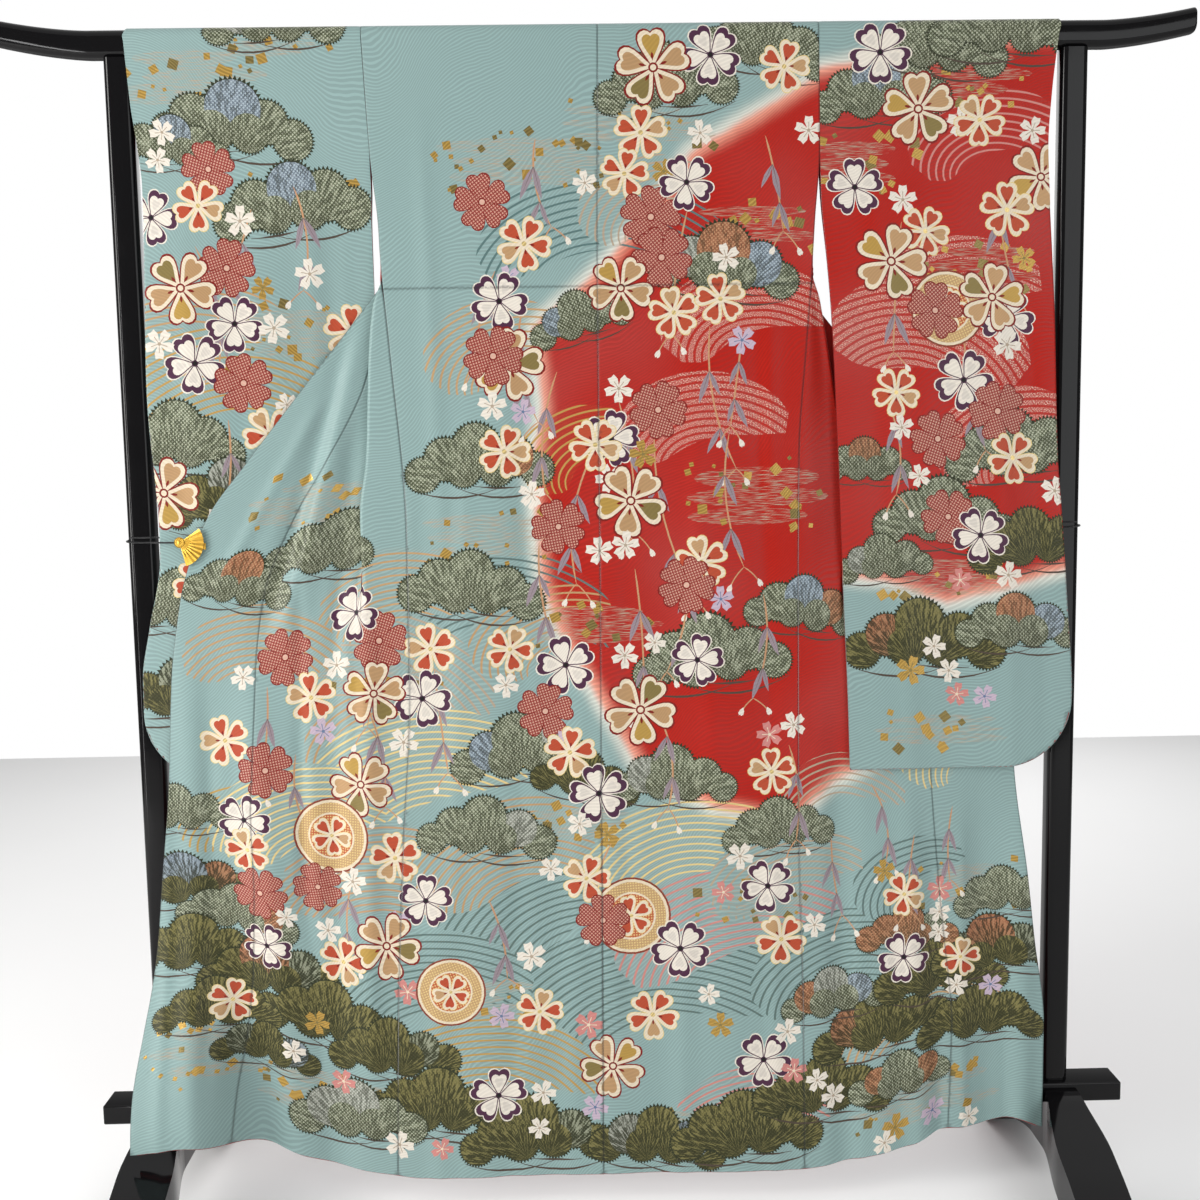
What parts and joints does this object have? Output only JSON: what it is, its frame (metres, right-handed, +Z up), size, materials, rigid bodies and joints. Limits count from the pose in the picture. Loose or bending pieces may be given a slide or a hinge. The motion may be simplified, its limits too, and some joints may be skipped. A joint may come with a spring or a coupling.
{
  "type": "furisode kimono on a lacquered kimono stand",
  "caption": "Long-sleeved silk furisode kimono hung back outwards over the rail of a standing rack, its fronts opened out as wings and clipped to the posts.",
  "frame": {"origin": "on the floor under the middle of the stand, between its four soles", "axes": "+X to the right across the kimono as seen from the display side, +Y away from that side, +Z up"},
  "size_m": [1.668, 0.556, 1.733],
  "materials": {
    "silk_left": "satin crepe silk, printed, pale aqua ground",
    "silk_right": "satin crepe silk, printed, red ground fading to aqua",
    "lining": "plain lining silk, dark red",
    "lacquer": "polished black lacquer",
    "gold": "polished gilt",
    "cord": "braided black cord"
  },
  "bodies": {
    "root": {"back_left": "silk_left", "back_right": "silk_right", "clip_fan_left": "gold", "clip_fan_right": "gold", "clip_jaw_left": "gold", "clip_jaw_right": "gold", "collar_left": "silk_left", "collar_neck": "silk_left", "collar_right": "silk_right", "crossbar": "lacquer", "foot_left": "lacquer", "foot_right": "lacquer", "front_left": "silk_left", "front_right": "silk_right", "hem_lining_back": "lining", "hem_lining_left": "lining", "hem_lining_right": "lining", "okumi_left": "silk_left", "okumi_right": "silk_right", "post_left": "lacquer", "post_right": "lacquer", "rail": "lacquer", "sleeve_left": "silk_left", "sleeve_right": "silk_right", "tie_cord_left": "cord", "tie_cord_right": "cord"}
  },
  "joints": []
}
